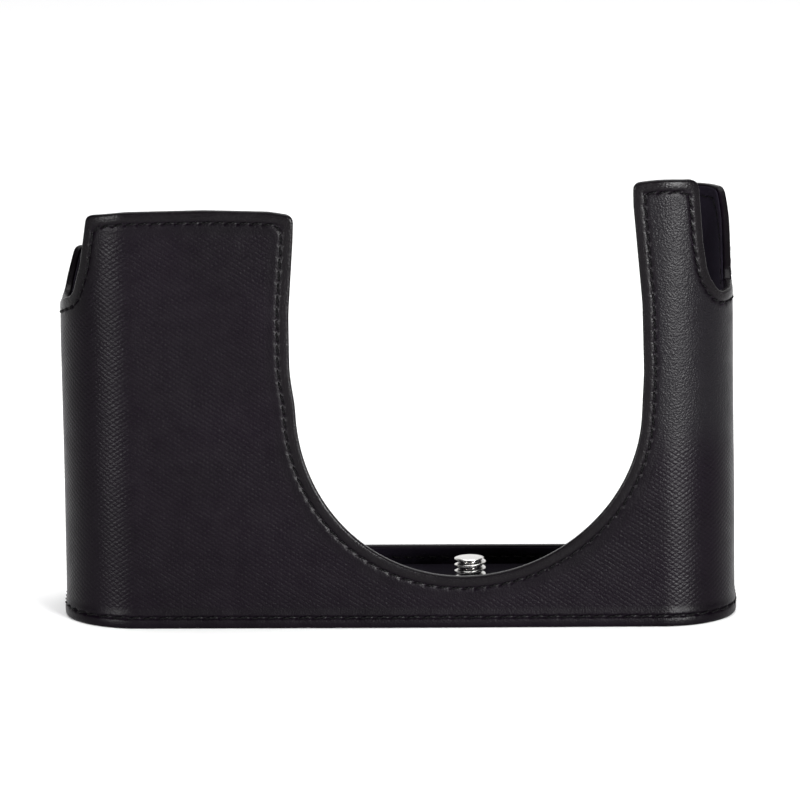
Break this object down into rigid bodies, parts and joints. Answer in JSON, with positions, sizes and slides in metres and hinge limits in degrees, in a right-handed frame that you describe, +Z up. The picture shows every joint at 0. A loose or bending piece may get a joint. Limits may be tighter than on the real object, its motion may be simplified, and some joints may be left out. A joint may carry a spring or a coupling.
{
  "type": "leather half case for a compact camera",
  "caption": "Black leather camera half case with a round lens cutout, lug notches, an open back and a captive camera screw.",
  "frame": {"origin": "centre of the underside, on the surface that the case stands on", "axes": "+X to the right when the lens cutout faces the viewer, -Y towards the lens, +Z up"},
  "size_m": [0.1357, 0.0418, 0.0909],
  "materials": {
    "leather": "black leather with a fine embossed weave and smooth turned edges",
    "base_leather": "smooth black leather",
    "suede": "short black suede lining",
    "board": "compressed leather fibre board",
    "tape": "black woven seam tape",
    "thread": "waxed black thread",
    "nickel": "bright nickel plate",
    "steel": "plain rolled steel"
  },
  "bodies": {
    "case": {"front_leather": "leather", "back_leather": "leather", "base_leather": "base_leather", "front_stiffener": "board", "rear_right_stiffener": "board", "rear_left_stiffener": "board", "base_board": "board", "front_lining": "suede", "back_lining": "suede", "floor_lining": "suede", "right_seam_tape": "tape", "left_seam_tape": "tape", "front_edge_thread": "thread", "back_edge_thread": "thread", "base_seam_thread": "thread", "screw_plate": "steel", "plate_rivet_1": "steel", "plate_rivet_2": "steel", "plate_rivet_3": "steel", "plate_rivet_4": "steel", "screw_trim_ring": "nickel"},
    "screw_clip": {"retaining_clip": "steel"},
    "camera_screw": {"tripod_screw": "nickel"}
  },
  "joints": [
    {"name": "screw_float", "type": "slide", "parent": "case", "child": "screw_clip", "axis": [0, 0, 1], "range_m": [0, 0.0006]},
    {"name": "screw_turn", "type": "hinge", "parent": "screw_clip", "child": "camera_screw", "pos_m": [0.014, 0, 0], "axis": [0, 0, 1], "continuous": true}
  ]
}
